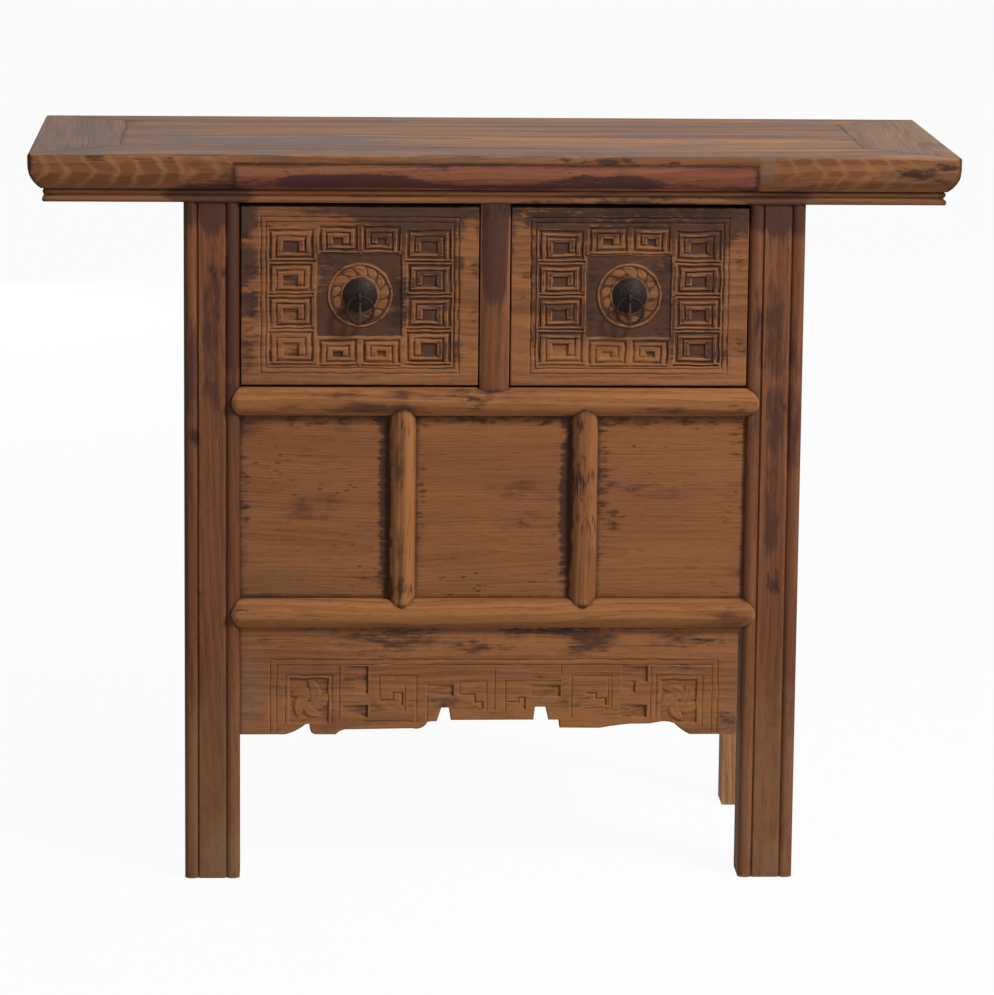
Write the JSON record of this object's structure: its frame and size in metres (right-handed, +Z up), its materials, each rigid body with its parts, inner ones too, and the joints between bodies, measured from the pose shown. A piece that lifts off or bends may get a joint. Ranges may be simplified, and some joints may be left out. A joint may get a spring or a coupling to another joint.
{
  "type": "altar table",
  "caption": "Altar table of elm with a framed overhanging top on straight legs, carved drawers over a closed compartment and a carved apron.",
  "frame": {"origin": "on the floor, midway between the ends and between the front and back edges of the top", "axes": "+X along the length to the right as seen from the front, +Y from the front to the back, +Z up"},
  "size_m": [1.1, 0.44, 0.88],
  "materials": {
    "weathered_top": "weathered bare elm, waxed",
    "worn_lacquer": "worn red-brown lacquer on elm",
    "dark_lacquer": "dark brown lacquer on elm",
    "red_lacquer": "remains of red and black lacquer",
    "bare_wood": "unfinished wood",
    "forged_iron": "dark forged iron"
  },
  "bodies": {
    "frame": {"back_panel_lower": "worn_lacquer", "back_panel_upper": "worn_lacquer", "back_rail_lower": "worn_lacquer", "back_rail_middle": "worn_lacquer", "back_rail_upper": "worn_lacquer", "carved_apron": "worn_lacquer", "compartment_floor": "bare_wood", "drawer_divider": "dark_lacquer", "drawer_runner_centre": "bare_wood", "drawer_runner_left": "bare_wood", "drawer_runner_right": "bare_wood", "edge_moulding_back": "worn_lacquer", "edge_moulding_front": "worn_lacquer", "edge_moulding_left": "worn_lacquer", "edge_moulding_right": "worn_lacquer", "front_edge_strip": "red_lacquer", "front_panel_centre": "worn_lacquer", "front_panel_left": "worn_lacquer", "front_panel_right": "worn_lacquer", "front_rail_lower": "worn_lacquer", "front_rail_middle": "worn_lacquer", "front_stile_left": "worn_lacquer", "front_stile_right": "worn_lacquer", "leg_back_left": "dark_lacquer", "leg_back_right": "dark_lacquer", "leg_front_left": "dark_lacquer", "leg_front_right": "dark_lacquer", "side_panel_lower_left": "worn_lacquer", "side_panel_lower_right": "worn_lacquer", "side_panel_upper_left": "worn_lacquer", "side_panel_upper_right": "worn_lacquer", "side_rail_lower_left": "worn_lacquer", "side_rail_lower_right": "worn_lacquer", "side_rail_middle_left": "worn_lacquer", "side_rail_middle_right": "worn_lacquer", "side_rail_upper_left": "worn_lacquer", "side_rail_upper_right": "worn_lacquer", "top_batten_left": "bare_wood", "top_batten_right": "bare_wood", "top_board_back": "weathered_top", "top_board_front": "weathered_top", "top_board_left": "weathered_top", "top_board_right": "weathered_top", "top_field_panel": "weathered_top"},
    "drawer_left": {"drawer_left_back": "bare_wood", "drawer_left_base": "bare_wood", "drawer_left_front": "worn_lacquer", "drawer_left_side_left": "bare_wood", "drawer_left_side_right": "bare_wood", "pull_left_plate": "forged_iron", "pull_left_post": "forged_iron"},
    "drawer_right": {"drawer_right_back": "bare_wood", "drawer_right_base": "bare_wood", "drawer_right_front": "worn_lacquer", "drawer_right_side_left": "bare_wood", "drawer_right_side_right": "bare_wood", "pull_right_plate": "forged_iron", "pull_right_post": "forged_iron"},
    "pull_left": {"pull_left_ring": "forged_iron"},
    "pull_right": {"pull_right_ring": "forged_iron"}
  },
  "joints": [
    {"name": "drawer_left_slide", "type": "slide", "parent": "frame", "child": "drawer_left", "axis": [0, -1, 0], "range_m": [0, 0.3]},
    {"name": "drawer_right_slide", "type": "slide", "parent": "frame", "child": "drawer_right", "axis": [0, -1, 0], "range_m": [0, 0.3]},
    {"name": "pull_left_swing", "type": "hinge", "parent": "drawer_left", "child": "pull_left", "pos_m": [-0.15975, -0.2125, 0.712], "axis": [-1, 0, 0], "range_deg": [-20, 200]},
    {"name": "pull_right_swing", "type": "hinge", "parent": "drawer_right", "child": "pull_right", "pos_m": [0.15975, -0.2125, 0.712], "axis": [-1, 0, 0], "range_deg": [-20, 200]}
  ]
}
